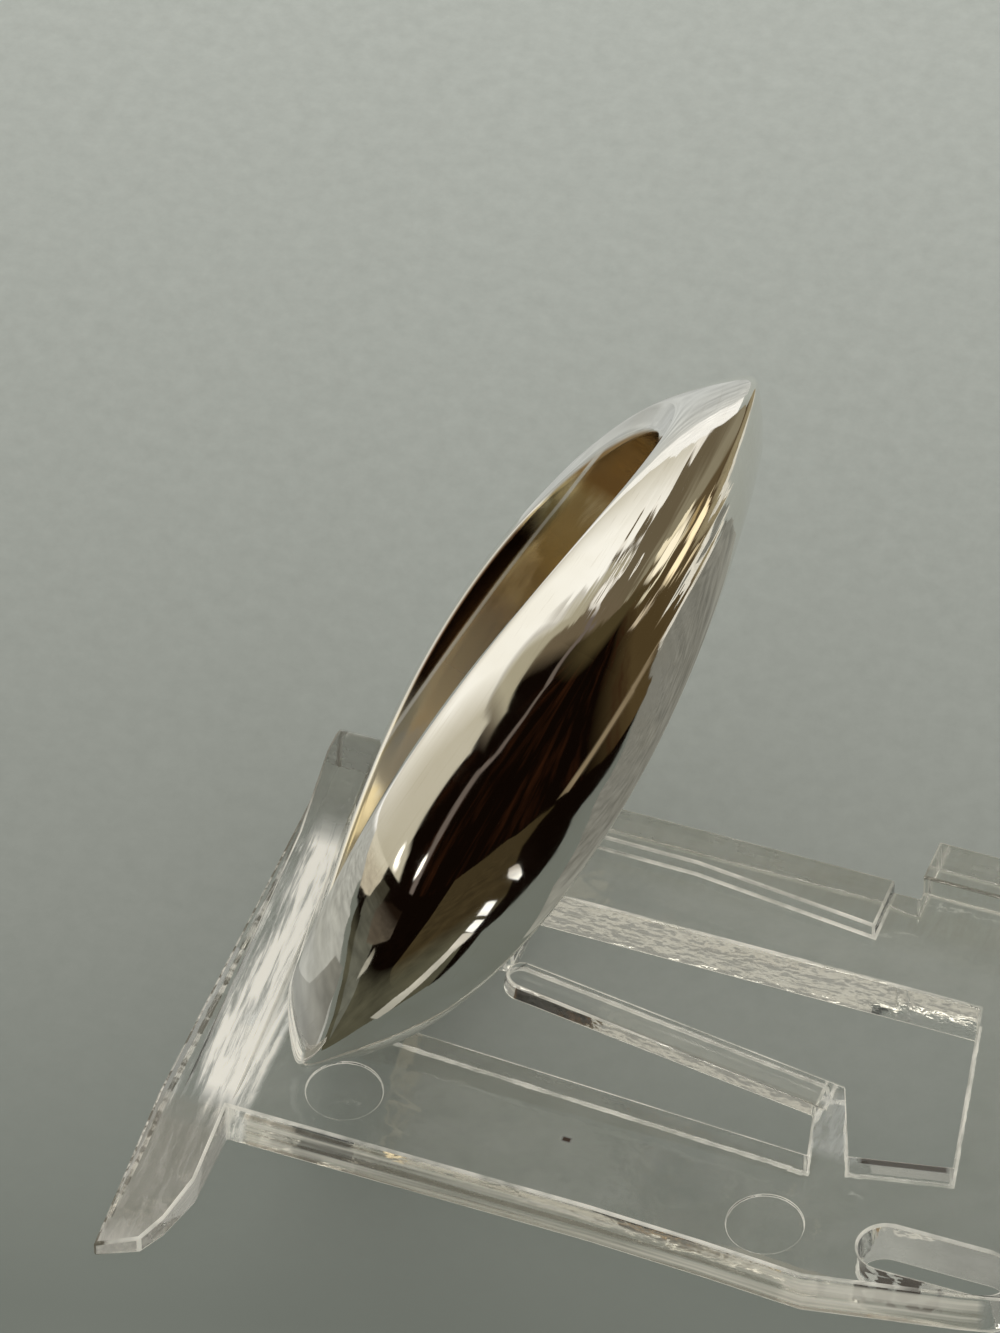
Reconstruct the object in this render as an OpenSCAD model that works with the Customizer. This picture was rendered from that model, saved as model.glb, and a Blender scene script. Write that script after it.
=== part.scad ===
// A polished silver band ring, leaning in the slot of a small clear moulded stand.
// Millimetres, +Z up. X runs along the stand's strips to the right, Y to its back.
// The origin is on the underside of the front strip, at the middle of its plain stretch.

/* [Ring] */
// Diameter of the finger hole
bore_d = 17.3; // [15:0.1:20]
// Width of the band at its two wide places
wide_w = 5.6; // [4.5:0.1:7]
// Width of the band at its two narrow shoulders
narrow_w = 2.8; // [2.4:0.1:4]
// Thickness of the band at the wide places
wide_t = 2.3; // [1.8:0.1:3]
// Thickness of the band at the narrow shoulders
narrow_t = 2.85; // [2:0.05:3.2]
// Height of the upright edge on each side of the band
edge_t = 0.95; // [0.6:0.05:1.2]
// Softness of the crest at the wide places, as a share of the half width
wide_soft = 0.38; // [0.1:0.02:0.8]
// Softness of the crest at the shoulders
narrow_soft = 0.1; // [0.05:0.01:0.6]

/* [Ring placing] */
// Lean of the ring's plane to the right, from upright
ring_lean = 25.7; // [15:0.1:30]
// Turn of the ring about the upright
ring_turn = -2.4; // [-4:0.1:4]
// Angle of the wide place from the top of the ring, towards the back
wide_at = -53.4; // [-90:0.1:90]
// Height of the ring's centre above the table
ring_z = 11.76; // [11.75:0.01:13]

/* [Stand] */
// Thickness of the flat base
plate_t = 1.5; // [1:0.1:2]
// Width of the left cross bar
bar_w = 2.8; // [2.4:0.1:3.2]
// Length of the foot in front of the base
foot_len = 5.2; // [4:0.1:8]
// Right end of the base, from the left cross bar
base_len = 23.5; // [22.5:0.1:28]
// Back edge of the base, from its front left corner
base_depth = 14.3; // [14:0.1:16]
// Height of the upright wall on the ring's left
wall_z = 4.2; // [3.5:0.1:4.8]
// Height of the stop on the ring's right
stop_z = 3; // [2:0.1:3.2]
// Rise of the tongue's free end above the base
tongue_rise = 1.6; // [0:0.1:2]

/* [Hidden] */
eps = 0.01;

bore_r = bore_d / 2;
round_steps = 96;
dome_steps = 18;
// How far the swept band reaches inside the finger hole before the hole is cut
bore_skin = 0.4;

// The middle of the front strip, from the base's front left corner
origin_at = [8, 1.7];
// The ring's centre, from the same corner
ring_at = [5.3, 7.8];

// The share of the wide shape at an angle: 1 at the two wide places, 0 at the shoulders
function wide_share(angle) = (1 + cos(2 * angle)) / 2;
function between(narrow, wide, angle) = narrow + (wide - narrow) * wide_share(angle);

// Fall of the dome from its crest to its edge, from 0 to 1, with a crest as round as soft is
function fall(side, soft) =
    (sqrt(side * side + soft * soft) - soft) / (sqrt(1 + soft * soft) - soft);
edge_round = 0.76;

// One section of the band at an angle about the finger hole, as points of radius and height
function section(angle) =
    let (half_w = between(narrow_w, wide_w, angle) / 2,
         thick = between(narrow_t, wide_t, angle),
         soft = between(narrow_soft, wide_soft, angle))
    concat(
        [for (i = [0 : dome_steps])
            let (side = sin(-90 + 180 * i / dome_steps))
            [bore_r + edge_t + (thick - edge_t) * pow(1 - fall(side, soft), edge_round), half_w * side]],
        [[bore_r - bore_skin, half_w], [bore_r - bore_skin, -half_w]]);

function placed(point, angle) = [point[0] * cos(angle), point[0] * sin(angle), point[1]];

// The band's outer form: sections swept round the finger hole, with the wide place at angle 0
module band_form() {
    n = dome_steps + 3;
    points = [for (k = [0 : round_steps - 1])
        let (angle = 360 * k / round_steps)
        for (p = section(angle)) placed(p, angle)];
    faces = [for (k = [0 : round_steps - 1])
        let (a = k * n, b = ((k + 1) % round_steps) * n)
        for (i = [0 : n - 1])
        let (j = (i + 1) % n)
        each [[a + i, a + j, b + j], [a + i, b + j, b + i]]];
    polyhedron(points = points, faces = faces, convexity = 6);
}

// The ring about its own axis, with a true round finger hole
module ring_form() {
    difference() {
        rotate([0, 0, wide_at]) band_form();
        cylinder(r = bore_r, h = 2 * wide_w, center = true, $fn = 96);
    }
}

// Moves a shape from the base's front left corner to the part's own origin
module from_corner() {
    translate([-origin_at[0], -origin_at[1], 0]) children();
}

module band_ring() {
    color("silver")
    from_corner()
    translate([ring_at[0], ring_at[1], ring_z])
    rotate([0, 0, ring_turn])
    rotate([0, ring_lean - 90, 0])
    ring_form();
}

// The flat base in one piece, with its main opening and the rounded slot at its right end
pad_at = [15, 14.5];
pad_back = 16;
front_at = [0, 10, 13.4, 16.4, 18, 20.8];
front_bow = [0.1, 0, -0.15, -0.35, -0.05, 0.45];
hole_at = [18.3, 1.45];
hole_r = 0.8;
hole_run = 2.8;
module base_frame() {
    linear_extrude(plate_t)
    difference() {
        polygon(concat(
            [[-bar_w, 0.1]],
            [for (i = [0 : len(front_at) - 1]) [front_at[i], front_bow[i]]],
            [[base_len, 1.1], [base_len, pad_back], [pad_at[0], pad_back],
             [pad_at[0], base_depth], [-bar_w, base_depth]]));
        polygon([[2.1, 4.62], [15.3, 3.95], [16.26, 4.32], [19.1, 4.9],
                 [17.95, 10.85], [3.9, 10.85], [3.9, 8.8]]);
        translate(hole_at) circle(r = hole_r, $fn = 32);
        translate([hole_at[0], hole_at[1] - hole_r]) square([hole_run, 2 * hole_r]);
        translate([hole_at[0] + hole_run, hole_at[1]]) circle(r = hole_r, $fn = 32);
    }
}

// The foot in front of the base gets thinner to its slanted tip
foot_right = -0.83;
foot_tip_z = 0.5;
module foot() {
    intersection() {
        linear_extrude(plate_t)
            polygon([[-bar_w, 0.3], [foot_right, 0.3], [foot_right, -2.4], [-1.2, 1.4 - foot_len],
                     [-1.63, 0.55 - foot_len], [-bar_w, -foot_len]]);
        translate([-bar_w, 0, 0])
        rotate([90, 0, 90])
        linear_extrude(foot_right + bar_w)
            polygon([[0.3, 0], [0.3, plate_t], [0, plate_t], [-foot_len, foot_tip_z], [-foot_len, 0]]);
    }
}

// The upright wall on the ring's left rises to the back and has a round back corner
wall_left = -2.1;
wall_right = -0.67;
wall_back = 12.9;
wall_round = 0.7;
module left_wall() {
    translate([wall_left, 0, 0])
    rotate([90, 0, 90])
    linear_extrude(wall_right - wall_left) {
        polygon([[0.25, 0], [0.25, plate_t], [9.3, 3.1], [11.6, wall_z], [wall_back - wall_round, wall_z],
                 [wall_back - wall_round, wall_z - wall_round], [wall_back, wall_z - wall_round],
                 [wall_back, 0]]);
        translate([wall_back - wall_round, wall_z - wall_round]) circle(r = wall_round, $fn = 32);
    }
}

// The stop on the ring's right, on the back strip's front edge
stop_left = 3.92;
stop_right = 4.6;
stop_front = 8.8;
module stop() {
    translate([stop_left, stop_front, 0]) cube([stop_right - stop_left, 11.2 - stop_front, stop_z]);
}

// The springy tongue rises from its root to its round free end
tongue_from = [15.2, 6.25];
tongue_to = 5.85;
tongue_w = 1;
tongue_t = 0.6;
module tongue() {
    slope = atan(tongue_rise / (tongue_from[0] - tongue_to));
    length = (tongue_from[0] - tongue_to) / cos(slope);
    translate([tongue_from[0], tongue_from[1], plate_t])
    rotate([0, slope, 0])
    translate([-length, 0, -tongue_t]) {
        translate([0, -tongue_w / 2, 0]) cube([length, tongue_w, tongue_t]);
        cylinder(d = tongue_w, h = tongue_t, $fn = 32);
    }
}

// The slanted root of the tongue, joined to the front strip
module tongue_root() {
    linear_extrude(plate_t)
        polygon([[14.7, 5.75], [15.1, 4], [15.1, 3.4], [16.5, 3.4], [16.15, 4.5],
                 [15.3, 6.75], [14.7, 6.75]]);
}

// The back strip's raised half and the pad at its right end
ridge_z = 0.5;
pad_z = 0.7;
module back_ridge() {
    translate([0, 0, plate_t - eps]) {
        linear_extrude(ridge_z)
            polygon([[wall_left, 13.1], [8.7, 13], [14.25, 12.4], [14.25, base_depth],
                     [wall_left, base_depth]]);
        translate([pad_at[0], pad_at[1], 0])
            cube([base_len - pad_at[0], pad_back - pad_at[1], pad_z]);
    }
}

// The two shallow round marks in the top of the front strip
mark_at = [[2.1, 1.75], [14.85, 1.1]];
mark_r = 1.1;
mark_z = 0.08;
module round_marks() {
    for (at = mark_at)
        translate([at[0], at[1], plate_t - mark_z]) cylinder(r = mark_r, h = 1, $fn = 48);
}

module ring_stand() {
    color([0.86, 0.9, 0.9, 0.45])
    from_corner()
    difference() {
        union() {
            base_frame();
            foot();
            left_wall();
            stop();
            tongue();
            tongue_root();
            back_ridge();
        }
        round_marks();
    }
}

band_ring();
ring_stand();
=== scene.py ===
import math
from collections import namedtuple

import bmesh
import bpy
from mathutils import Matrix, Vector


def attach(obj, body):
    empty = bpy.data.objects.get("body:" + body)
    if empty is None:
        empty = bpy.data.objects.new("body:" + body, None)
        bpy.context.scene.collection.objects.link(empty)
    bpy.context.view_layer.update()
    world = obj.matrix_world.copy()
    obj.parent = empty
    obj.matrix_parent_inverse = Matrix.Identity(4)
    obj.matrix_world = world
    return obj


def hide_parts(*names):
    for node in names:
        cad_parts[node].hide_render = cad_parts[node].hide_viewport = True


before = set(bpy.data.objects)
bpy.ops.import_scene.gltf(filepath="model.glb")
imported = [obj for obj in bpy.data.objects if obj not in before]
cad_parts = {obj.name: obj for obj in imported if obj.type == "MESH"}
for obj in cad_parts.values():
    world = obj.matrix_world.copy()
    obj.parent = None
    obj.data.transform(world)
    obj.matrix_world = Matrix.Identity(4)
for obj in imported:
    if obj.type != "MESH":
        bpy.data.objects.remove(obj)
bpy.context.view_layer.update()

MM = 0.001

# Sizes of the ring and its placing, as in the part's source, in millimetres and degrees
BORE_R = 8.65
WIDE_W, NARROW_W = 5.6, 2.8
WIDE_T, NARROW_T = 2.3, 2.85
EDGE_T = 0.95
WIDE_SOFT, NARROW_SOFT = 0.38, 0.10
EDGE_ROUND = 0.76
WIDE_AT = -53.4
RING_LEAN, RING_TURN = 25.7, -2.4
RING_AT = Vector((-2.7, 6.1, 11.76))

RING_TURNED = (Matrix.Rotation(math.radians(RING_TURN), 4, "Z")
               @ Matrix.Rotation(math.radians(RING_LEAN - 90), 4, "Y"))

# The photograph: its size and the ring's middle in pixels, its scale at the ring, and where it was
# taken from, in degrees and millimetres
IMAGE_W, IMAGE_H = 1000, 1333
RING_PX = (525, 721)
PX_PER_MM = 36.0
CAMERA_AZIMUTH, CAMERA_ELEVATION = 20, 46
CAMERA_DISTANCE = 300.0


def new_object(name, data):
    made = bpy.data.objects.new(name, data)
    bpy.context.scene.collection.objects.link(made)
    return made


def toward(azimuth, elevation):
    """Direction from the part to a place at that azimuth (0 is in front) and elevation, in degrees."""
    a, e = math.radians(azimuth), math.radians(elevation)
    return Vector((math.sin(a) * math.cos(e), -math.cos(a) * math.cos(e), math.sin(e)))


class Nodes:
    """One shader tree, with a short name for each kind of node. A value is a number or a node's output."""

    def __init__(self, tree):
        self.tree = tree

    def add(self, kind, **values):
        node = self.tree.nodes.new(kind)
        for key, value in values.items():
            setattr(node, key, value)
        return node

    def feed(self, socket, value):
        """Sets a number, vector or colour on a socket, or links an output to it."""
        if isinstance(value, (int, float, tuple)):
            socket.default_value = value
        else:
            self.tree.links.new(value, socket)

    def calc(self, operation, *values, clamp=False):
        node = self.add("ShaderNodeMath", operation=operation, use_clamp=clamp)
        for socket, value in zip(node.inputs, values):
            self.feed(socket, value)
        return node.outputs[0]

    def times(self, first, *others):
        for other in others:
            first = self.calc("MULTIPLY", first, other)
        return first

    def plus(self, first, second, clamp=False):
        return self.calc("ADD", first, second, clamp=clamp)

    def minus(self, first, second):
        return self.calc("SUBTRACT", first, second)

    def most(self, first, second):
        return self.calc("MAXIMUM", first, second)

    def least(self, first, second):
        return self.calc("MINIMUM", first, second)

    def size(self, value):
        return self.calc("ABSOLUTE", value)

    def length(self, first, second):
        return self.calc("SQRT", self.plus(self.times(first, first), self.times(second, second)))

    def span(self, value, low, high, to_low=0.0, to_high=1.0):
        """Runs from to_low at low to to_high at high, and stays level beyond them."""
        node = self.add("ShaderNodeMapRange", clamp=True)
        for name, number in (("From Min", low), ("From Max", high),
                             ("To Min", to_low), ("To Max", to_high)):
            node.inputs[name].default_value = number
        self.feed(node.inputs["Value"], value)
        return node.outputs["Result"]

    def fade(self, value, low, high):
        """Runs from 1 at low to 0 at high."""
        return self.span(value, low, high, 1.0, 0.0)

    def within(self, value, low, high, soft):
        """1 between low and high and 0 outside them, changing over soft on each side of both."""
        return self.times(self.span(value, low - soft, low + soft),
                          self.fade(value, high - soft, high + soft))

    def line(self, distance, half, soft):
        """1 up to half away from a line, fading to 0 over soft."""
        return self.fade(self.size(distance), half, half + soft)

    def noise(self, vector, scale, detail, roughness, distortion=0.0):
        node = self.add("ShaderNodeTexNoise")
        for name, number in (("Scale", scale), ("Detail", detail), ("Roughness", roughness),
                             ("Distortion", distortion)):
            node.inputs[name].default_value = number
        self.feed(node.inputs["Vector"], vector)
        return node.outputs["Fac"]

    def blend(self, factor, first, second):
        """The first colour where factor is 0 and the second where it is 1."""
        node = self.add("ShaderNodeMix", data_type="RGBA")
        self.feed(node.inputs["Factor"], factor)
        for socket, colour in ((node.inputs[6], first), (node.inputs[7], second)):
            self.feed(socket, (*colour, 1) if isinstance(colour, tuple) else colour)
        return node.outputs[2]

    def layers(self, colour, *covers):
        """A colour with others over it, each given as how much it covers and the colour itself."""
        for cover, over in covers:
            colour = self.blend(cover, colour, over)
        return colour

    def bump(self, height, distance, strength=1.0, under=None):
        node = self.add("ShaderNodeBump")
        node.inputs["Strength"].default_value = strength
        node.inputs["Distance"].default_value = distance
        self.feed(node.inputs["Height"], height)
        if under is not None:
            self.feed(node.inputs["Normal"], under)
        return node.outputs["Normal"]

    def vector(self, *values):
        node = self.add("ShaderNodeCombineXYZ")
        for socket, value in zip(node.inputs, values):
            self.feed(socket, value)
        return node.outputs[0]

    def split(self, vector):
        node = self.add("ShaderNodeSeparateXYZ")
        self.feed(node.inputs[0], vector)
        return node.outputs

    def scaled(self, vector, factors):
        """The vector with each of its three numbers multiplied by its own factor."""
        node = self.add("ShaderNodeVectorMath", operation="MULTIPLY")
        self.feed(node.inputs[0], vector)
        self.feed(node.inputs[1], factors)
        return node.outputs[0]

    def along(self, vector, axis):
        node = self.add("ShaderNodeVectorMath", operation="DOT_PRODUCT")
        self.feed(node.inputs[0], vector)
        self.feed(node.inputs[1], axis)
        return node.outputs["Value"]

    def object_mm(self):
        """Object coordinates in millimetres."""
        node = self.add("ShaderNodeVectorMath", operation="SCALE")
        node.inputs["Scale"].default_value = 1 / MM
        self.feed(node.inputs[0], self.add("ShaderNodeTexCoord").outputs["Object"])
        return node.outputs[0]

    def mix_shader(self, factor, first, second):
        node = self.add("ShaderNodeMixShader")
        for socket, value in zip(node.inputs, (factor, first, second)):
            self.feed(socket, value)
        return node.outputs[0]


class Material(Nodes):
    """A new material, with its Principled shader and its output."""

    def __init__(self, name):
        self.material = bpy.data.materials.new(name)
        self.material.use_nodes = True
        super().__init__(self.material.node_tree)
        self.shader = self.tree.nodes["Principled BSDF"]
        self.surface = self.tree.nodes["Material Output"].inputs["Surface"]

    def give(self, name, value):
        """Sets or links one of the Principled shader's own sockets."""
        self.feed(self.shader.inputs[name], value)


# The ring's mesh: steps round it, across its dome, along the hole's wall, along an upright side and
# round the small fillet between those two, and the fillet's radius in millimetres
ROUND_STEPS = 600
DOME_STEPS = 84
WALL_STEPS = 8
SIDE_STEPS = 4
FILLET_STEPS = 5
FILLET = 0.2


def between(narrow, wide, angle):
    """A size at an angle from a wide place of the band, by the rule of the part's source."""
    return narrow + (wide - narrow) * ((1 + math.cos(2 * angle)) / 2)


def fall(side, soft):
    """Fall of the dome from its crest to its edge, from 0 to 1."""
    return (math.hypot(side, soft) - soft) / (math.hypot(1, soft) - soft)


def ring_section(angle):
    """Closed section of the band at an angle, as (radius, height along the ring's axis): down the hole's
    wall from its high end, out along the low side, up over the dome and in along the high side."""
    half_w = between(NARROW_W, WIDE_W, angle) / 2
    thick = between(NARROW_T, WIDE_T, angle)
    soft = between(NARROW_SOFT, WIDE_SOFT, angle)
    wall = [(BORE_R, (half_w - FILLET) * (1 - 2 * i / WALL_STEPS)) for i in range(WALL_STEPS + 1)]
    # A side, as (radius, distance in from the band's edge)
    side = []
    for i in range(1, FILLET_STEPS + 1):
        turn = math.radians(90 * i / FILLET_STEPS)
        side.append((BORE_R + FILLET * (1 - math.cos(turn)), FILLET * (1 - math.sin(turn))))
    for i in range(1, SIDE_STEPS):
        side.append((BORE_R + FILLET + (EDGE_T - FILLET) * i / SIDE_STEPS, 0))
    dome = []
    for i in range(DOME_STEPS + 1):
        across = math.sin(math.radians(-90 + 180 * i / DOME_STEPS))
        rise = max(0.0, 1 - fall(across, soft)) ** EDGE_ROUND
        dome.append((BORE_R + EDGE_T + (thick - EDGE_T) * rise, half_w * across))
    low_side = [(radius, inset - half_w) for radius, inset in side]
    high_side = [(radius, half_w - inset) for radius, inset in reversed(side)]
    return wall + low_side + dome + high_side


def make_ring():
    """The band: its sections joined round the finger hole."""
    bm = bmesh.new()
    rows = []
    for k in range(ROUND_STEPS):
        angle = 2 * math.pi * k / ROUND_STEPS
        turned = angle + math.radians(WIDE_AT)
        row = []
        for radius, height in ring_section(angle):
            local = Vector((radius * math.cos(turned), radius * math.sin(turned), height))
            row.append(bm.verts.new((RING_TURNED @ local + RING_AT) * MM))
        rows.append(row)
    for k, row in enumerate(rows):
        after = rows[(k + 1) % ROUND_STEPS]
        for i in range(len(row)):
            j = (i + 1) % len(row)
            bm.faces.new((row[i], after[i], after[j], row[j]))
    bmesh.ops.recalc_face_normals(bm, faces=bm.faces)
    for face in bm.faces:
        face.smooth = True
    mesh = bpy.data.meshes.new("silver_band")
    bm.to_mesh(mesh)
    bm.free()
    return new_object("silver_band", mesh)


# Places on the ring, each as where a change starts and where it ends. Angles are in radians from the
# ring's top, and the rest is in millimetres.
SCRATCHED_AT = -0.08
SCRATCHED_REACH = (0.14, 0.40)
CREST_RADIUS = (10.4, 10.8)
HOLE_RADIUS = (8.68, 8.74)
TOP_OF_HOLE = (1.55, 1.64)
FOOT_OF_HOLE = (1.95, 2.6)
FOOT_OF_RING = (2.8, 3.1)
BAND_START, BAND_END = (1.84, 1.92), (2.50, 2.72)
BAND_EDGE = (2.22, 2.30)
RIM_AT, RIM_REACH = 2.20, (0.03, 0.07)

# Colours of the silver, and of the reflections and the highlight painted into its finger hole over its
# tarnish
CLEAN_SILVER, WORN_SILVER, HAIR_LINE = (0.91, 0.90, 0.87), (0.84, 0.82, 0.76), (0.72, 0.68, 0.60)
STRAW, OLIVE_REFLECTION, PALE_REFLECTION = (0.95, 0.84, 0.58), (0.66, 0.52, 0.27), (0.93, 0.87, 0.70)
BROWN_REFLECTION, DARK_BAND, PALE_RIM_HIGHLIGHT = (0.44, 0.28, 0.12), (0.16, 0.09, 0.05), (0.98, 0.94, 0.86)

# Depths of the silver's scratches and waves, and of its hair lines, in millimetres
SCRATCH_DEPTH, HAIR_DEPTH = 0.05, 0.0012

RingSpace = namedtuple("RingSpace", "vector around radius across")


def ring_space(m):
    """Coordinates that lie with the ring, in millimetres: the vector, its angle from the ring's top, its
    distance from the ring's axis and its place along that axis."""
    node = m.add("ShaderNodeMapping", vector_type="TEXTURE")
    node.inputs["Location"].default_value = RING_AT * MM
    node.inputs["Rotation"].default_value = RING_TURNED.to_euler("XYZ")
    node.inputs["Scale"].default_value = (MM, MM, MM)
    m.feed(node.inputs["Vector"], m.add("ShaderNodeTexCoord").outputs["Object"])
    x, y, z = m.split(node.outputs[0])
    return RingSpace(node.outputs[0], m.calc("ARCTAN2", y, x), m.length(x, y), z)


def hole_reflections_and_tarnish(m, at, lines):
    """The finger hole's painted reflections and its tarnish film, as the painted colour, how much the film
    dulls the metal, and the dark band. The painted reflection is brown in the upper half, patchy olive
    below that and paler at the foot. The dark band is a painted dark reflection along one edge, with a
    pale rim beside it as a painted highlight."""
    from_top = m.size(at.around)
    foot = m.span(from_top, *FOOT_OF_HOLE)
    patches = m.noise(m.scaled(at.vector, (0.25, 0.25, 0.9)), 1.0, 4.0, 0.6, 0.4)
    patches = m.plus(patches, m.span(lines, 0.3, 0.7, -0.06, 0.06))
    # The band's edge runs a little askew along the hole's wall
    askew = m.plus(at.across, m.span(at.around, 1.7, 2.7, 0.15, -0.15))
    reach = m.times(m.span(at.around, *BAND_START), m.fade(at.around, *BAND_END))
    band = m.times(m.span(askew, *BAND_EDGE), reach)
    rim = m.span(m.size(m.minus(askew, RIM_AT)), *RIM_REACH, 0.8, 0.0)
    # Painted reflections: straw, olive and brown in the finger hole, a dark band, and a pale rim as a
    # painted highlight
    tint = m.layers(STRAW,
                    (m.span(patches, 0.44, 0.54), m.blend(foot, OLIVE_REFLECTION, PALE_REFLECTION)),
                    (m.fade(from_top, *TOP_OF_HOLE), BROWN_REFLECTION),
                    (band, DARK_BAND),
                    (rim, PALE_RIM_HIGHLIGHT))
    film = m.plus(m.span(from_top, *TOP_OF_HOLE, 0.04, 0.07), m.times(foot, 0.26))
    return tint, m.plus(film, m.times(rim, 0.30)), band


def silver():
    """Polished silver with fine lines round the band, a scratched stretch near its top, softer waves away
    from its foot, and a finger hole with painted reflections over a tarnish film."""
    m = Material("polished_silver")
    at = ring_space(m)

    def round_the_band(stretch, fine):
        """A vector for lines round the band, from stretch per radian and fine per millimetre across."""
        return m.vector(m.times(at.around, stretch), m.times(at.radius, fine), m.times(at.across, fine))

    lines = m.noise(round_the_band(2.4, 3.0), 1.0, 1.5, 0.5)
    waves = m.noise(round_the_band(0.8, 1.9), 1.0, 1.0, 0.5)
    hair = m.noise(round_the_band(3.0, 18.0), 1.0, 2.0, 0.5)
    wear = m.noise(at.vector, 0.35, 3.0, 0.55)
    cloud = m.noise(at.vector, 1.4, 4.0, 0.6)
    hole = m.fade(at.radius, *HOLE_RADIUS)
    # The finger hole's colour is painted reflection; its film is tarnish
    hole_paint, film, band = hole_reflections_and_tarnish(m, at, lines)
    tint = m.layers(CLEAN_SILVER,
                    (m.span(wear, 0.35, 0.7), WORN_SILVER),
                    (m.span(hair, 0.62, 0.8, 0.0, 0.5), HAIR_LINE),
                    (hole, hole_paint))
    m.give("Base Color", tint)
    # The film is only in the hole, and thin in the dark band
    film = m.times(film, m.minus(hole, m.times(hole, m.times(band, 0.8))))
    m.give("Metallic", m.minus(1.0, film))
    rough = m.plus(m.span(lines, 0.3, 0.75, 0.02, 0.06), m.span(cloud, 0.45, 0.8, 0.0, 0.04))
    m.give("Roughness", m.plus(rough, m.times(hole, 0.10)))
    from_top = m.size(at.around)
    worn = m.times(m.fade(m.size(m.minus(at.around, SCRATCHED_AT)), *SCRATCHED_REACH),
                   m.span(at.radius, *CREST_RADIUS))
    coarse = m.plus(m.times(lines, worn), m.times(waves, m.span(from_top, *FOOT_OF_RING, 0.13, 0.0)))
    fine = m.times(hair, m.plus(worn, m.span(from_top, *FOOT_OF_RING, 0.15, 0.0)))
    m.give("Normal", m.bump(fine, HAIR_DEPTH * MM, 1.0, m.bump(coarse, SCRATCH_DEPTH * MM)))
    return m.material


# The stand's two shallow round marks: their middles, and how far out at most and how high at least their
# edges lie, in millimetres
ROUND_MARKS = ((-5.9, 0.05), (6.85, -0.6))
MARK_REACH = 1.2
MARK_HEIGHT = 1.3
# Points nearer than this are one point, in millimetres, and faces that turn less than this are one, in
# degrees
SAME_POINT = 0.002
SAME_FACE = 1.0
# Flat faces with more corners than this are cut into triangles before their edges are rounded
MOST_CORNERS = 30
# Edges that turn more than this, in degrees, are rounded by this many millimetres, in this many steps.
# The round marks' edges get only a share of it.
SHARP_TURN = 35
ROUNDING = 0.08
ROUNDING_STEPS = 3
MARK_SHARE = 0.22
# The material slot of the stand's rounded edges
EDGE_SLOT = 1


def in_round_mark(edge):
    """True for the edges of the two shallow round marks."""
    middle = (edge.verts[0].co + edge.verts[1].co) / (2 * MM)
    near = any(math.hypot(middle.x - x, middle.y - y) < MARK_REACH for x, y in ROUND_MARKS)
    return middle.z > MARK_HEIGHT and near


def make_stand():
    """The stand: the CAD solid's own faces, with rounded edges."""
    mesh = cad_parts["ring_stand"].data.copy()
    mesh.name = "clear_stand"
    mesh.materials.clear()
    bm = bmesh.new()
    bm.from_mesh(mesh)
    bmesh.ops.remove_doubles(bm, verts=bm.verts, dist=SAME_POINT * MM)
    bmesh.ops.dissolve_limit(bm, angle_limit=math.radians(SAME_FACE), verts=bm.verts, edges=bm.edges)
    crowded = [face for face in bm.faces if len(face.verts) > MOST_CORNERS]
    bmesh.ops.triangulate(bm, faces=crowded, ngon_method="BEAUTY")
    for face in bm.faces:
        face.smooth = True
    weight = bm.edges.layers.float.new("bevel_weight_edge")
    for edge in bm.edges:
        if len(edge.link_faces) == 2 and edge.calc_face_angle() > math.radians(SHARP_TURN):
            edge[weight] = MARK_SHARE if in_round_mark(edge) else 1.0
    bm.to_mesh(mesh)
    bm.free()
    stand = new_object("clear_stand", mesh)
    soft = stand.modifiers.new("edges", "BEVEL")
    soft.width = ROUNDING * MM
    soft.segments = ROUNDING_STEPS
    soft.material = EDGE_SLOT
    soft.limit_method = "WEIGHT"
    soft.use_clamp_overlap = False
    shading = stand.modifiers.new("shading", "WEIGHTED_NORMAL")
    shading.keep_sharp = False
    return stand


PLASTIC_IOR = 1.49
# Places in the stand, in millimetres, each as its low and high end and how softly it ends there
WALL_Y = (-1.5, 7.8, 0.5)
FACE_Y = (-2.2, -1.1, 0.04)
TONGUE_X, TONGUE_Y = (-2.7, 7.1, 0.1), (3.95, 4.14, 0.02)
ROOT_X, ROOT_Y = (6.9, 8.5, 0.1), (2.4, 4.6, 0.25)
SLIVER_X, SLIVER_Y, SLIVER_Z = (8.5, 11.0, 0.1), (2.5, 3.3, 0.06), (0.95, 1.45, 0.06)
SLOT_X, SLOT_Y, SLOT_Z = (9.4, 12.2, 0.1), (-1.2, -0.35, 0.06), (0.3, 1.42, 0.05)
SPECK_X, SPECK_Y = (0.47, 0.73, 0.03), (0.37, 0.55, 0.03)
OPENING_Y = (2.1, 3.1, 0.05)
# Places in the stand where one side changes to the other, each as where the change starts and ends
BAR_RIGHT, WALL_LEFT = (-8.6, -8.4), (-10.2, -9.5)
FOOT_BACK, FOOT_TIP = (-1.9, -1.5), (-6.6, -5.6)
FACE_LEFT, FACE_TOP = (-8.4, -8.2), (1.34, 1.40)
WALL_BACK, RAISED_BACK = (7.8, 8.5), (11.0, 11.6)
ROOT_LEFT, ROOT_TOP = (7.1, 7.3), (1.42, 1.46)
SPECK_TOP, STRIP_TOP = (1.46, 1.48), (1.40, 1.46)
# Colours inside the clear plastic: clear and cloudy, the wall's grey end, the foot, cream and brown
# # lines (the cream also glows as painted light), the tongue's front, dark slivers of painted shade and a
# speck of dirt, and the greyer parts at the back and in the opening
CLEAR, CLOUDY = (0.97, 0.975, 0.965), (0.94, 0.94, 0.92)
WALL_END, FOOT_TINT = (0.70, 0.69, 0.66), (0.80, 0.74, 0.66)
CREAM, BROWN_LINE = (0.96, 0.91, 0.80), (0.62, 0.54, 0.44)
TONGUE_FRONT, NEARLY_BLACK = (0.80, 0.79, 0.75), (0.07, 0.045, 0.035)
GREYER = (0.83, 0.82, 0.77)
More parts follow.
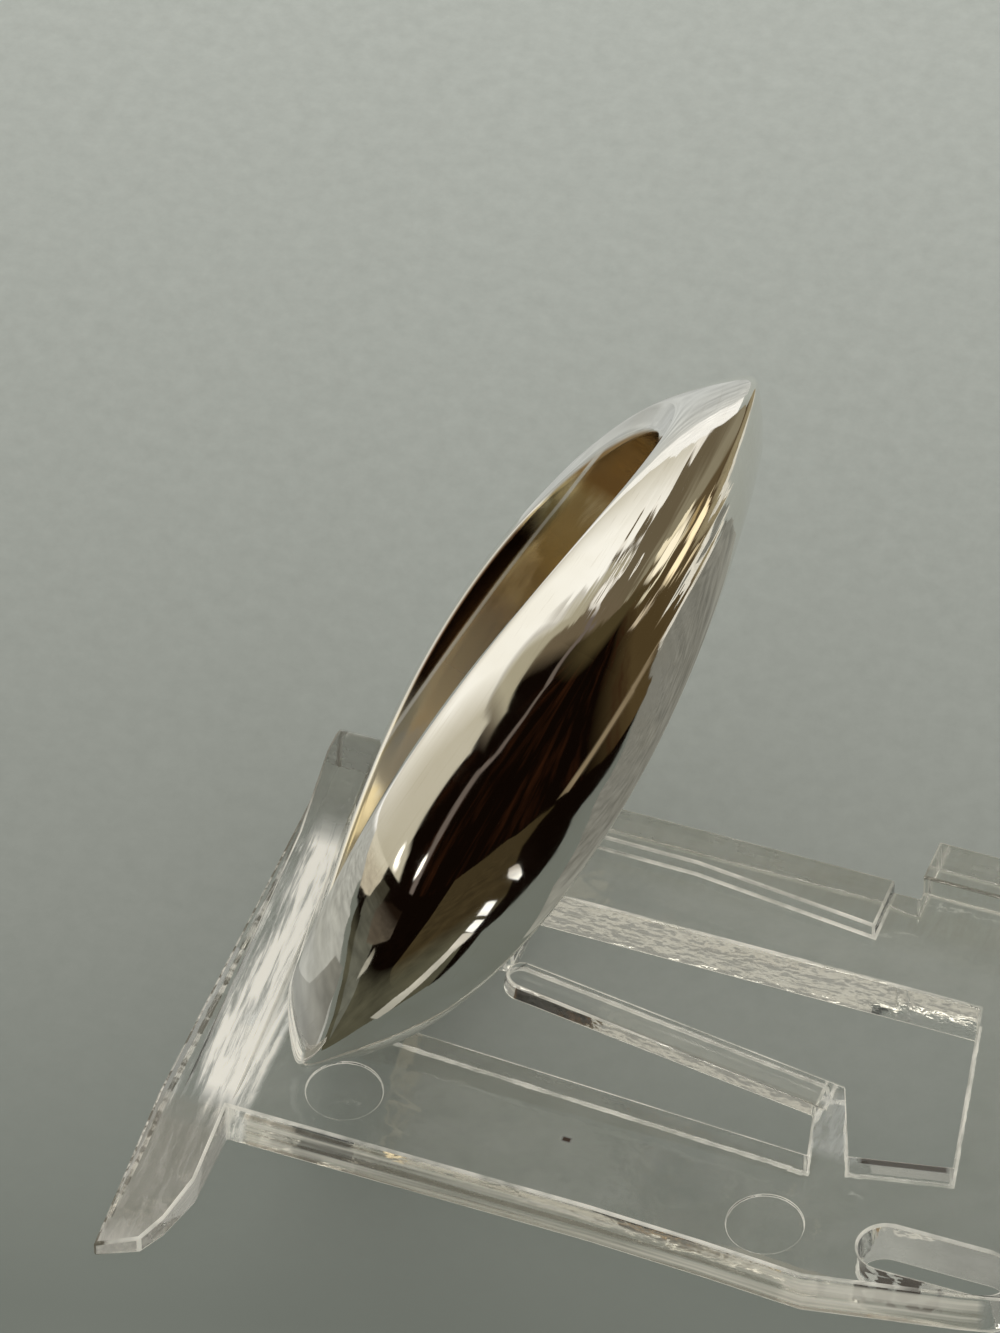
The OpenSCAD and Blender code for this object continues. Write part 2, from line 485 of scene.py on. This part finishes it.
# Light that passes straight through the plastic to the table
PASSED_LIGHT = (0.95, 0.955, 0.95, 1)
# Heights of the plastic's bumps, in millimetres: broad waves, ripples and fine drawn lines
WAVE_HEIGHT, RIPPLE_HEIGHT, DRAWN_HEIGHT = 0.04, 0.010, 0.016

StandSpace = namedtuple("StandSpace", "vector x y z cloud ripple strands bar foot")


def stand_space(m):
    """What the stand's plastic is painted by: the place in millimetres, three noises, and masks of the
    left cross bar and of the foot in front of it."""
    vector = m.object_mm()
    x, y, z = m.split(vector)
    bar = m.fade(x, *BAR_RIGHT)
    return StandSpace(vector, x, y, z,
                      cloud=m.noise(vector, 0.7, 3.0, 0.6),
                      ripple=m.noise(vector, 2.0, 2.0, 0.5),
                      strands=m.noise(m.scaled(vector, (4.0, 0.7, 2.5)), 1.0, 4.0, 0.6, 0.8),
                      bar=bar, foot=m.times(bar, m.fade(y, *FOOT_BACK)))


def milk_in_wall(m, at):
    """Milky strands inside the left wall, fewer towards its left side."""
    fullness = m.span(at.x, *WALL_LEFT, -0.14, 0.07)
    streaks = m.noise(m.scaled(at.vector, (3.6, 0.32, 0.8)), 1.0, 4.0, 0.62, 0.25)
    return m.times(at.bar, m.within(at.y, *WALL_Y), m.span(m.plus(streaks, fullness), 0.40, 0.60))


def milk_in_foot(m, at):
    """Haze in the foot, stronger at its tip."""
    return m.plus(m.times(at.foot, m.span(at.strands, 0.45, 0.65, 0.10, 0.30)),
                  m.times(at.foot, m.span(at.y, *FOOT_TIP, 0.35, 0.0)))


def milk_in_root(m, at):
    """Haze in the top of the tongue's root."""
    return m.times(m.within(at.x, *ROOT_X), m.within(at.y, *ROOT_Y), m.span(at.z, *ROOT_TOP),
                   m.span(at.strands, 0.35, 0.65, 0.10, 0.42))


def front_face(m, at):
    """The front strip's upright face, and the noise of the lines along it."""
    face = m.times(m.within(at.y, *FACE_Y), m.span(at.x, *FACE_LEFT), m.fade(at.z, *FACE_TOP))
    return face, m.noise(m.scaled(at.vector, (0.06, 0.0, 2.2)), 1.0, 2.0, 0.6)


def shade_and_dirt_places(m, at):
    """Painted shade: dark slivers along the opening's front, right of the tongue's root, and in the slot's
    near end. Also a speck of dirt on the front strip."""
    sliver = m.times(m.within(at.x, *SLIVER_X), m.within(at.y, *SLIVER_Y), m.within(at.z, *SLIVER_Z))
    slot_end = m.times(m.within(at.x, *SLOT_X), m.within(at.y, *SLOT_Y), m.within(at.z, *SLOT_Z),
                       m.span(at.ripple, 0.44, 0.50))
    speck = m.times(m.within(at.x, *SPECK_X), m.within(at.y, *SPECK_Y), m.span(at.z, *SPECK_TOP))
    return m.most(sliver, m.most(slot_end, speck))


def greyer_places(m, at):
    """The raised back half and the opening's front, left of the tongue's root."""
    rear = m.times(m.span(at.y, *RAISED_BACK), m.span(at.strands, 0.3, 0.6, 0.4, 1.0))
    front = m.times(m.within(at.y, *OPENING_Y), m.fade(at.x, *ROOT_LEFT), m.fade(at.z, *STRIP_TOP))
    return m.most(rear, front)


def clear_plastic():
    """Clear moulded plastic, with milky strands, cream and brown lines, dark slivers of painted shade and
    drawn lines. The milky strands and the cream lines glow as painted light.
    """
    m = Material("clear_plastic")
    at = stand_space(m)
    wall = milk_in_wall(m, at)
    face, lines = front_face(m, at)
    cream = m.times(face, m.span(lines, 0.46, 0.62, 0.22, 0.75))
    # Painted shade in the dark slivers of the opening and the slot's end, and a speck of dirt
    dark = shade_and_dirt_places(m, at)
    tongue_front = m.times(m.within(at.y, *TONGUE_Y), m.within(at.x, *TONGUE_X))
    tint = m.layers(m.blend(m.span(at.cloud, 0.35, 0.7), CLEAR, CLOUDY),
                    (m.times(at.bar, m.span(at.y, *WALL_BACK)), WALL_END),
                    (m.times(at.foot, 0.7), FOOT_TINT),
                    (m.most(face, m.times(wall, 0.8)), CREAM),
                    (m.times(face, m.span(lines, 0.40, 0.47, 0.9, 0.0)), BROWN_LINE),
                    (tongue_front, TONGUE_FRONT),
                    (dark, NEARLY_BLACK),
                    (greyer_places(m, at), GREYER))
    m.give("Base Color", tint)
    # Painted light: the wall's milky strands and the front face's cream lines glow, though no lamp is in
    # them
    m.give("Emission Color", tint)
    m.give("Emission Strength", m.most(m.span(wall, 0.5, 1.0, 0.0, 0.26),
                                       m.span(cream, 0.3, 0.8, 0.0, 0.14)))
    haze = m.span(at.cloud, 0.4, 0.75, 0.02, 0.09)
    milk = m.most(m.most(wall, milk_in_foot(m, at)), m.most(cream, milk_in_root(m, at)))
    m.give("Transmission Weight", m.minus(1.0, m.most(m.plus(haze, milk, clamp=True), dark)))
    m.give("Roughness", m.span(m.noise(at.vector, 3.5, 2.0, 0.5), 0.45, 0.8, 0.02, 0.12))
    m.give("Metallic", 0.0)
    m.give("IOR", PLASTIC_IOR)
    drawn = m.noise(m.scaled(at.vector, (0.05, 0.05, 3.0)), 1.0, 1.5, 0.5)
    waves = m.bump(at.ripple, RIPPLE_HEIGHT * MM, 0.7, m.bump(at.cloud, WAVE_HEIGHT * MM, 0.7))
    m.give("Normal", m.bump(drawn, DRAWN_HEIGHT * MM, 1.0, waves))
    let_light_through(m)
    return m.material


def let_light_through(m):
    """Light reaches the table through the thin plastic, so that its shadow stays pale."""
    path = m.add("ShaderNodeLightPath")
    through = m.add("ShaderNodeBsdfTransparent")
    through.inputs["Color"].default_value = PASSED_LIGHT
    passing = m.most(path.outputs["Is Shadow Ray"], m.least(path.outputs["Diffuse Depth"], 1.0))
    m.feed(m.surface, m.mix_shader(passing, m.shader.outputs[0], through.outputs[0]))


# Colours of the stand's rounded edges, which glow as painted highlights: bright and warm by turns, and
# where they look dark
BRIGHT_EDGE, WARM_EDGE, DARK_EDGE = (0.99, 0.97, 0.90), (0.94, 0.88, 0.76), (0.16, 0.145, 0.11)
# Places of the edges, in millimetres, each as where a change starts and where it ends
BAR_LEFT, EDGE_BAR_RIGHT = (-10.5, -10.3), (-8.5, -8.3)
EDGE_WALL_BACK, DULL_BACK = (7.6, 8.8), (11.0, 12.2)
PAD_LEFT, PAD_FRONT, PAD_TOP = (6.8, 6.9), (13.2, 13.4), (2.0, 2.1)
EDGE_WAVE_HEIGHT = 0.02


def glowing_edges():
    """The stand's rounded edges glow as painted highlights: bright, warm white and uneven in front, duller
    at the back, and dark along the bar's left side, at the wall's back end and along the raised pad's
    front."""
    m = Material("plastic_edges")
    vector = m.object_mm()
    x, y, z = m.split(vector)
    uneven = m.noise(vector, 0.45, 3.0, 0.6)
    specks = m.noise(vector, 2.2, 3.0, 0.6)
    far_left = m.times(m.fade(x, *BAR_LEFT), m.span(specks, 0.45, 0.55, 0.2, 1.0))
    wall_end = m.times(m.fade(x, *EDGE_BAR_RIGHT), m.span(y, *EDGE_WALL_BACK, 0.0, 0.85))
    pad_front = m.times(m.span(z, *PAD_TOP, 0.0, 0.7),
                        m.times(m.span(x, *PAD_LEFT), m.fade(y, *PAD_FRONT)))
    dark = m.most(m.most(far_left, wall_end), pad_front)
    tint = m.layers(m.blend(uneven, BRIGHT_EDGE, WARM_EDGE), (dark, DARK_EDGE))
    milk = m.times(m.span(uneven, 0.38, 0.60, 0.25, 0.95), m.span(y, *DULL_BACK, 1.0, 0.25))
    m.give("Base Color", tint)
    # Painted highlight: the milky parts of the edges glow, though no lamp is in them
    m.give("Emission Color", tint)
    m.give("Emission Strength", m.times(milk, 0.20))
    m.give("Transmission Weight", m.minus(1.0, milk))
    m.give("Roughness", m.span(uneven, 0.3, 0.7, 0.08, 0.25))
    m.give("Metallic", 0.0)
    m.give("IOR", PLASTIC_IOR)
    m.give("Normal", m.bump(uneven, EDGE_WAVE_HEIGHT * MM, 0.6))
    let_light_through(m)
    return m.material


# The table top's half size in metres, and how far below the stand it lies in millimetres
TABLE_HALF = 1.2
TABLE_GAP = 0.03
# The table's colour in front, at the part and far behind it, which paints shade in front and light behind,
# and the colour of its grain
TABLE_FRONT, TABLE_MIDDLE = (0.302, 0.324, 0.290), (0.478, 0.498, 0.460)
TABLE_BACK, TABLE_GRAIN = (0.765, 0.797, 0.750), (0.30, 0.315, 0.285)
GRAIN_HEIGHT = 0.02


def table_top():
    """A matt grey-green table with a soft grain, painted darker in front and paler towards the back as
    painted shade and light.
    """
    m = Material("table_top")
    vector = m.object_mm()
    x, y, _ = m.split(vector)
    depth = m.plus(y, m.times(x, -0.25))
    grain = m.noise(vector, 1.6, 5.0, 0.65)
    # Painted shade and light: the table darkens towards the front and pales towards the back
    m.give("Base Color", m.layers(TABLE_FRONT,
                                  (m.span(depth, -6, 9), TABLE_MIDDLE),
                                  (m.span(depth, 9, 50), TABLE_BACK),
                                  (m.span(grain, 0.3, 0.7, 0.0, 0.18), TABLE_GRAIN)))
    m.give("Roughness", 0.75)
    m.give("Specular IOR Level", 0.15)
    m.give("Normal", m.bump(grain, GRAIN_HEIGHT * MM, 0.3))
    return m.material


def make_floor():
    """A large plain table top just under the stand."""
    mesh = bpy.data.meshes.new("floor")
    corners = ((-1, -1), (1, -1), (1, 1), (-1, 1))
    mesh.from_pydata([(x * TABLE_HALF, y * TABLE_HALF, -TABLE_GAP * MM) for x, y in corners], [],
                     [(0, 1, 2, 3)])
    mesh.materials.append(table_top())
    new_object("floor", mesh)


# The back lamp's azimuth and elevation, its distance and size in metres, its power in watts and colour
BACK_LAMP_AT = (-160, 58)
BACK_LAMP_DISTANCE, BACK_LAMP_SIZE = 0.20, 0.24
BACK_LAMP_POWER = 0.05
BACK_LAMP_COLOUR = (1.0, 0.98, 0.94)


def make_back_lamp():
    """A soft lamp behind the part, which the polish and the plastic don't show."""
    data = bpy.data.lights.new("back_lamp", "AREA")
    data.energy = BACK_LAMP_POWER
    data.color = BACK_LAMP_COLOUR
    data.size = BACK_LAMP_SIZE
    lamp = new_object("back_lamp", data)
    aim = RING_AT * MM
    lamp.location = aim + toward(*BACK_LAMP_AT) * BACK_LAMP_DISTANCE
    lamp.rotation_euler = (aim - lamp.location).to_track_quat("-Z", "Y").to_euler()
    lamp.visible_camera = False
    lamp.visible_glossy = False
    lamp.visible_transmission = False


# Corners of the large white window that the polish mirrors, as azimuth and elevation in degrees
WINDOW_EDGE = ((-45.5, -30), (-45.5, 38), (-52, 46), (-72, 51.5), (-103, 57.5), (-126, 50), (-142, 26),
               (-147, 9), (-151, -12))
# Streaks of the warm window at the right: middle, tilt, half its length and width in degrees, and colour
WARM_STREAKS = (((119, 11), -41, (19, 5.5), (1.3, 1.08, 0.70)),
                ((108, 47), -28, (22, 4.0), (0.95, 0.86, 0.62)),
                ((128, 30), -41, (9, 3.0), (0.45, 0.33, 0.16)),
                ((91, 34), -41, (14, 1.8), (0.58, 0.48, 0.34)),
                ((126, 58), -40, (18, 9.0), (1.15, 1.03, 0.78)))
STREAK_SOFT = 0.3
# Two small lamps in front, with their tilt, half size and colour
SMALL_LAMPS = ((-49, 4), (-36.5, 7))
LAMP_TILT, LAMP_HALF, LAMP_COLOUR = 82, (3.4, 1.1), (2.2, 2.1, 1.9)
# The thin pale line low at the right: the azimuth and elevation of its highest point, in degrees, how
# fast it bows down from there, and its colour
LOW_LINE_AT, LOW_LINE_HEIGHT = 80, 6
LOW_LINE_BOW = 0.011
LOW_LINE_COLOUR = (0.26, 0.20, 0.12)
# Colours of the dim room that the polish mirrors
ROOM_FRONT, ROOM_RUDDY, ROOM_CEILING = (0.004, 0.002, 0.001), (0.030, 0.010, 0.004), (0.07, 0.052, 0.022)
ROOM_RIGHT, ROOM_BACK_RIGHT = (0.075, 0.05, 0.02), (0.11, 0.078, 0.038)
ROOM_LEFT, ROOM_BACK_LEFT = (0.15, 0.115, 0.07), (0.14, 0.11, 0.065)
ROOM_BACK, ROOM_HIGH_BACK = (0.26, 0.225, 0.15), (0.95, 0.84, 0.60)
# Colours of the white window's frame, reveal and pane, each as its darker and its paler part
FRAME_DARK, FRAME_PALE = (0.15, 0.12, 0.10), (0.95, 0.90, 0.80)
REVEAL_DARK, REVEAL_PALE = (0.14, 0.115, 0.08), (0.42, 0.38, 0.27)
PANE_DIM, PANE_BRIGHT = (0.50, 0.455, 0.34), (1.05, 1.02, 0.93)
# Colours of the pale room that shows through the plastic
PALE_WALL, PALE_BACK = (0.33, 0.32, 0.28), (0.60, 0.57, 0.48)
PALE_STRIP, PALE_CEILING = (2.4, 2.3, 2.0), (3.6, 3.5, 3.2)
# What matt surfaces and the camera get of the room
EVEN_LIGHT, SEEN_ROOM = (0.520, 0.525, 0.505, 1), (0.42, 0.43, 0.41, 1)


class Sky(Nodes):
    """The world's tree, with a direction's azimuth and elevation in degrees. Azimuth 0 is in front."""

    def __init__(self, world):
        super().__init__(world.node_tree)
        self.tree.nodes.clear()
        x, y, z = self.split(self.add("ShaderNodeTexCoord").outputs["Generated"])
        self.azimuth = self.calc("DEGREES", self.calc("ARCTAN2", x, self.times(y, -1)))
        self.elevation = self.calc("DEGREES", self.calc("ARCSINE", z))
        self.place = self.vector(self.azimuth, self.elevation, 1.0)
        self.from_front = self.size(self.azimuth)

    def streak(self, at, tilt, half):
        """A soft ellipse at (azimuth, elevation), its long side turned up by tilt degrees."""
        c, s = math.cos(math.radians(tilt)), math.sin(math.radians(tilt))
        u = self.along(self.place, (c / half[0], s / half[0], -(at[0] * c + at[1] * s) / half[0]))
        v = self.along(self.place, (-s / half[1], c / half[1], (at[0] * s - at[1] * c) / half[1]))
        return self.fade(self.length(u, v), 1 - STREAK_SOFT, 1 + STREAK_SOFT)

    def height_band(self, elevation, half, soft):
        """1 within half of an elevation, fading to 0 over soft."""
        return self.line(self.minus(self.elevation, elevation), half, soft)

    def background(self, colour):
        node = self.add("ShaderNodeBackground")
        self.feed(node.inputs["Color"], colour)
        return node.outputs[0]


def inside_window(s):
    """How far inside the white window's edge a direction lies, in degrees."""
    inside = None
    for (a0, e0), (a1, e1) in zip(WINDOW_EDGE, WINDOW_EDGE[1:]):
        size = math.hypot(a1 - a0, e1 - e0)
        a, e = (e0 - e1) / size, (a1 - a0) / size
        side = s.along(s.place, (a, e, -(a0 * a + e0 * e)))
        inside = side if inside is None else s.least(inside, side)
    return inside


def dim_room(s):
    """Black in front with ruddy mottling, brown at the right and overhead, paler at the left and behind,
    with a warm patch high at the back right."""
    mottled = s.noise(s.scaled(s.place, (0.11, 0.025, 1.0)), 1.0, 4.0, 0.65)
    ruddy = s.times(s.span(mottled, 0.50, 0.75), s.line(s.plus(s.azimuth, -20), 60, 10))
    high_back = s.times(s.height_band(61, 9, 3), s.span(s.azimuth, 136, 146))
    return s.layers(ROOM_FRONT,
                    (s.span(s.azimuth, 64, 86), ROOM_RIGHT),
                    (ruddy, ROOM_RUDDY),
                    (s.span(s.elevation, 66, 77), ROOM_CEILING),
                    (s.span(s.azimuth, -62, -80), ROOM_LEFT),
                    (s.span(s.azimuth, -108, -130), ROOM_BACK_LEFT),
                    (s.span(s.azimuth, 100, 125), ROOM_BACK_RIGHT),
                    (s.span(s.from_front, 150, 162), ROOM_BACK),
                    (high_back, ROOM_HIGH_BACK))


def right_side(s, colour):
    """Streaks of a warm window at the right, and a thin pale line low below them."""
    for at, tilt, half, warm in WARM_STREAKS:
        colour = s.blend(s.streak(at, tilt, half), colour, warm)
    aside = s.minus(s.azimuth, LOW_LINE_AT)
    bow = s.times(aside, aside, LOW_LINE_BOW)
    low_line = s.line(s.minus(s.plus(s.elevation, bow), LOW_LINE_HEIGHT), 0.7, 1.0)
    return s.blend(s.times(low_line, s.span(s.azimuth, 45, 60)), colour, LOW_LINE_COLOUR)


def left_window(s, colour):
    """The large window at the left, with a pale frame outside it, a tan reveal and a white pane."""
    inside = inside_window(s)
    away = s.plus(s.span(s.elevation, 36, 54, 10.8, 19.8), s.span(s.azimuth, -80, -110, 0.0, -11.5))
    frame_line = s.line(s.plus(inside, away), 1.1, 1.0)
    frame_tint = s.blend(s.span(s.azimuth, -95, -112), FRAME_DARK, FRAME_PALE)
    reveal = s.times(s.line(s.plus(inside, 2.8), 2.6, 1.2), s.span(s.elevation, 40, 46))
    reveal_tint = s.blend(s.span(s.elevation, 46, 52), REVEAL_DARK, REVEAL_PALE)
    pane = s.span(s.times(inside, s.span(s.elevation, 42, 52, 1.0, 0.2)), -0.4, 0.8)
    shine = s.times(s.span(s.azimuth, -58, -84, 0.12, 1.0), s.span(s.elevation, 0, 30, 0.3, 1.0))
    pane_tint = s.blend(shine, PANE_DIM, PANE_BRIGHT)
    return s.layers(colour, (frame_line, frame_tint), (reveal, reveal_tint), (pane, pane_tint))


def pale_room(s):
    """What the plastic shows: a pale room with a bright low strip at its sides and back, a bright ceiling
    and a fainter line between the two at the back."""
    low_glow = s.times(s.height_band(17, 9, 5), s.span(s.from_front, 60, 80))
    back_glow = s.times(s.height_band(49, 1.5, 2.0), s.span(s.from_front, 120, 140))
    return s.layers(PALE_WALL,
                    (low_glow, PALE_STRIP),
                    (s.span(s.elevation, 62, 70), PALE_CEILING),
                    (back_glow, PALE_BACK))


def make_world():
    """A soft studio. Matt surfaces get even light and the plastic sees a pale room. Polished metal mirrors
    a dim room with a large white window on the left, a warm one at the right and a pale back."""
    world = bpy.data.worlds.new("studio")
    bpy.context.scene.world = world
    world.cycles.sampling_method = "NONE"
    world.use_nodes = True
    s = Sky(world)
    mirrored = left_window(s, right_side(s, dim_room(s)))
    for at in SMALL_LAMPS:
        mirrored = s.blend(s.streak(at, LAMP_TILT, LAMP_HALF), mirrored, LAMP_COLOUR)
    path = s.add("ShaderNodeLightPath").outputs
    room = s.background(mirrored)
    room = s.mix_shader(path["Is Transmission Ray"], room, s.background(pale_room(s)))
    room = s.mix_shader(s.least(path["Diffuse Depth"], 1.0), room, s.background(EVEN_LIGHT))
    room = s.mix_shader(path["Is Camera Ray"], room, s.background(SEEN_ROOM))
    s.feed(s.add("ShaderNodeOutputWorld").inputs["Surface"], room)


# Directions that the cards' colours run in, and colours that more than one card has
RIGHT, LEFT, FRONT, BACK = (1, 0, 0), (-1, 0, 0), (0, -1, 0), (0, 1, 0)
BLACK, WHITE = (0.004, 0.002, 0.001), (1.2, 1.18, 1.1)
OLIVE, BROWN = (0.09, 0.085, 0.055), (0.05, 0.036, 0.016)


def card_material(name, near, far, axis, over):
    """A card's glow. Its colour runs from near to far along an axis, between the two distances in over, in
    millimetres, and is a little uneven."""
    m = Material(name)
    m.tree.nodes.remove(m.shader)
    vector = m.object_mm()
    glow = m.add("ShaderNodeEmission")
    m.feed(glow.inputs["Color"], m.blend(m.span(m.along(vector, axis), *over), near, far))
    m.feed(glow.inputs["Strength"], m.span(m.noise(vector, 0.16, 3.0, 0.6), 0.3, 0.7, 0.72, 1.28))
    # Rays that come from a matt surface pass through the card, so it lights nothing
    matt = m.least(m.add("ShaderNodeLightPath").outputs["Diffuse Depth"], 1.0)
    clear = m.add("ShaderNodeBsdfTransparent").outputs[0]
    m.feed(m.surface, m.mix_shader(matt, glow.outputs[0], clear))
    return m.material


def make_card(name, height, near, far, axis, over, corners):
    """A flat studio card that only the polish sees, given by its height above the stand's underside and
    its (x, y) corners, in millimetres."""
    mesh = bpy.data.meshes.new(name)
    mesh.from_pydata([Vector((x, y, height)) * MM for x, y in corners], [], [tuple(range(len(corners)))])
    mesh.materials.append(card_material(name, near, far, axis, over))
    card = new_object(name, mesh)
    card.visible_camera = False
    card.visible_diffuse = False
    card.visible_transmission = False
    card.visible_shadow = False


def make_front_cards():
    """Dark cards in front of the part and at its right, with glints and a thin line over them."""
    make_card("dark_card", 0.30, OLIVE, BLACK, FRONT, (14, 26),
              [(-4, -6.5), (-8, -5), (-30, -15), (-60, -30), (-80, -44), (-160, -98), (-1300, -700),
               (-1300, -1300), (1300, -1300), (1300, -30), (400, -48), (165, -55), (104, -52), (80, -46),
               (60, -37), (40, -28), (20, -20.5), (10, -16), (2, -9)])
    make_card("brown_card", 0.34, OLIVE, BROWN, FRONT, (16, 27),
              [(1, -10), (10, -17.5), (20, -25), (38, -44), (66, -74), (160, -150), (400, -300),
               (400, -1300), (60, -1300), (-2, -60), (-6, -24)])
    make_card("black_band", 0.38, BLACK, BLACK, RIGHT, (0, 1),
              [(2, -9), (10, -16), (20, -20.5), (40, -28), (60, -37), (80, -46), (104, -52), (165, -55),
               (400, -48), (1300, -30), (1300, -300), (165, -82), (104, -74), (80, -61), (60, -48),
               (40, -36), (20, -25), (10, -18.5)])
    make_card("glint_1", 0.42, WHITE, WHITE, RIGHT, (0, 1),
              [(9.5, -17.5), (12.5, -20), (12, -21), (9.5, -19)])
    make_card("glint_2", 0.42, WHITE, WHITE, RIGHT, (0, 1),
              [(13.5, -21), (18, -25.5), (17, -26.5), (13, -22.5)])
    make_card("glint_3", 0.42, WHITE, (0.5, 0.45, 0.38), FRONT, (30, 42),
              [(26, -28.5), (28.5, -30), (38, -43), (35, -44), (28, -35)])
    make_card("thin_line", 0.42, (0.50, 0.48, 0.40), (0.62, 0.58, 0.50), RIGHT, (0, 9),
              [(-2, -6.9), (9.5, -17.3), (9, -18.5), (-2.6, -8.2)])


def make_left_cards():
    """Cards at the part's left: tan, dark and grey ones in front, and wide pale ones behind."""
    make_card("tan_card", 0.40, (0.52, 0.46, 0.35), (0.66, 0.61, 0.48), LEFT, (90, 300),
              [(-60, -30), (-66, -43), (-90, -62), (-125, -92), (-1300, -1000), (-1300, -500)])
    make_card("tip_card", 0.43, (0.11, 0.09, 0.065), (0.012, 0.007, 0.004), FRONT, (30, 80),
              [(-34, -26), (-46, -34), (-60, -46), (-88, -74), (-104, -104), (-80, -116), (-46, -66),
               (-32, -46)])
    make_card("wall_shade", 0.43, (0.31, 0.31, 0.28), (0.22, 0.215, 0.185), FRONT, (0, 7),
              [(-9.5, 5), (-13, 4), (-16, -1), (-20.5, -5.5), (-24, -9), (-23.5, -11.5), (-16, -6.5),
               (-9, -3)])
    make_card("grey_band", 0.38, (0.14, 0.14, 0.11), (0.05, 0.045, 0.03), LEFT, (12, 90),
              [(-9, -7), (-30, -17), (-60, -36), (-80, -50), (-170, -120), (-170, -150), (-80, -66),
               (-40, -36), (-22, -20), (-14, -13)])
    make_card("pale_streak", 0.42, (0.5, 0.48, 0.4), (0.2, 0.18, 0.14), FRONT, (22, 30),
              [(-20.5, -17), (-26, -23.5), (-31, -31), (-28, -30), (-22, -22.5)])
    make_card("left_card", 0.30, (0.44, 0.44, 0.40), (1.0, 0.98, 0.92), (-0.5, 0.86, 0), (60, 128),
              [(-16, 30), (-13, 0), (-9, -4), (-30, -13), (-60, -27), (-80, -41), (-160, -94),
               (-1300, -680), (-1300, 1300), (-560, 1300), (-36, 100), (-20, 60)])
    make_card("pale_card", 0.34, (0.52, 0.53, 0.50), (0.60, 0.60, 0.56), BACK, (30, 90),
              [(-13, 26), (-10, 34), (-14, 60), (-30, 100), (-70, 100), (-45, 50), (-25, 28)])


def make_right_cards():
    """A grey card at the part's right, and a brown one with a pale line in front of it at the back."""
    make_card("shade_card", 0.30, (0.30, 0.30, 0.26), (0.21, 0.205, 0.175), RIGHT, (10, 28),
              [(8, -5), (20, -13), (45, -22), (110, -38), (400, -30), (1300, -10), (1300, 430), (215, 98),
               (68, 52), (30, 42), (12, 30)])
    make_card("far_card", 0.30, (0.30, 0.25, 0.15), (0.09, 0.06, 0.03), BACK, (80, 220),
              [(2, 46), (35, 52), (68, 60), (215, 108), (1300, 460), (1300, 1300), (0, 1300)])
    make_card("far_line", 0.34, (0.60, 0.57, 0.48), (0.80, 0.76, 0.66), RIGHT, (0, 60),
              [(4, 43), (35, 46), (68, 50), (100, 57), (190, 66), (277, 80), (457, 98), (1300, 230),
               (1300, 620), (407, 215), (215, 122), (144, 92), (68, 60), (35, 52), (4, 48)])


def make_camera():
    """The camera stands where the photograph was taken from, with the ring's middle at its pixel."""
    back = toward(CAMERA_AZIMUTH, CAMERA_ELEVATION)
    turn = math.radians(CAMERA_AZIMUTH)
    right = Vector((math.cos(turn), math.sin(turn), 0))
    up = back.cross(right)
    across, down = RING_PX[0] - IMAGE_W / 2, RING_PX[1] - IMAGE_H / 2
    place = RING_AT + back * CAMERA_DISTANCE - right * across / PX_PER_MM + up * down / PX_PER_MM
    data = bpy.data.cameras.new("camera")
    data.sensor_fit = "VERTICAL"
    data.sensor_height = 24.0
    data.lens = PX_PER_MM * CAMERA_DISTANCE * data.sensor_height / IMAGE_H
    data.clip_start = 0.01
    data.clip_end = 20
    camera = new_object("camera", data)
    camera.matrix_world = Matrix((
        (right.x, up.x, back.x, place.x * MM),
        (right.y, up.y, back.y, place.y * MM),
        (right.z, up.z, back.z, place.z * MM),
        (0, 0, 0, 1)))
    bpy.context.scene.camera = camera


ring = make_ring()
ring.data.materials.append(silver())
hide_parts("band_ring")
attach(ring, "root")

stand = make_stand()
stand.data.materials.append(clear_plastic())
stand.data.materials.append(glowing_edges())
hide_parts("ring_stand")
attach(stand, "root")

make_floor()
make_world()
make_front_cards()
make_left_cards()
make_right_cards()
make_back_lamp()
make_camera()

bpy.context.scene.view_settings.view_transform = "Standard"
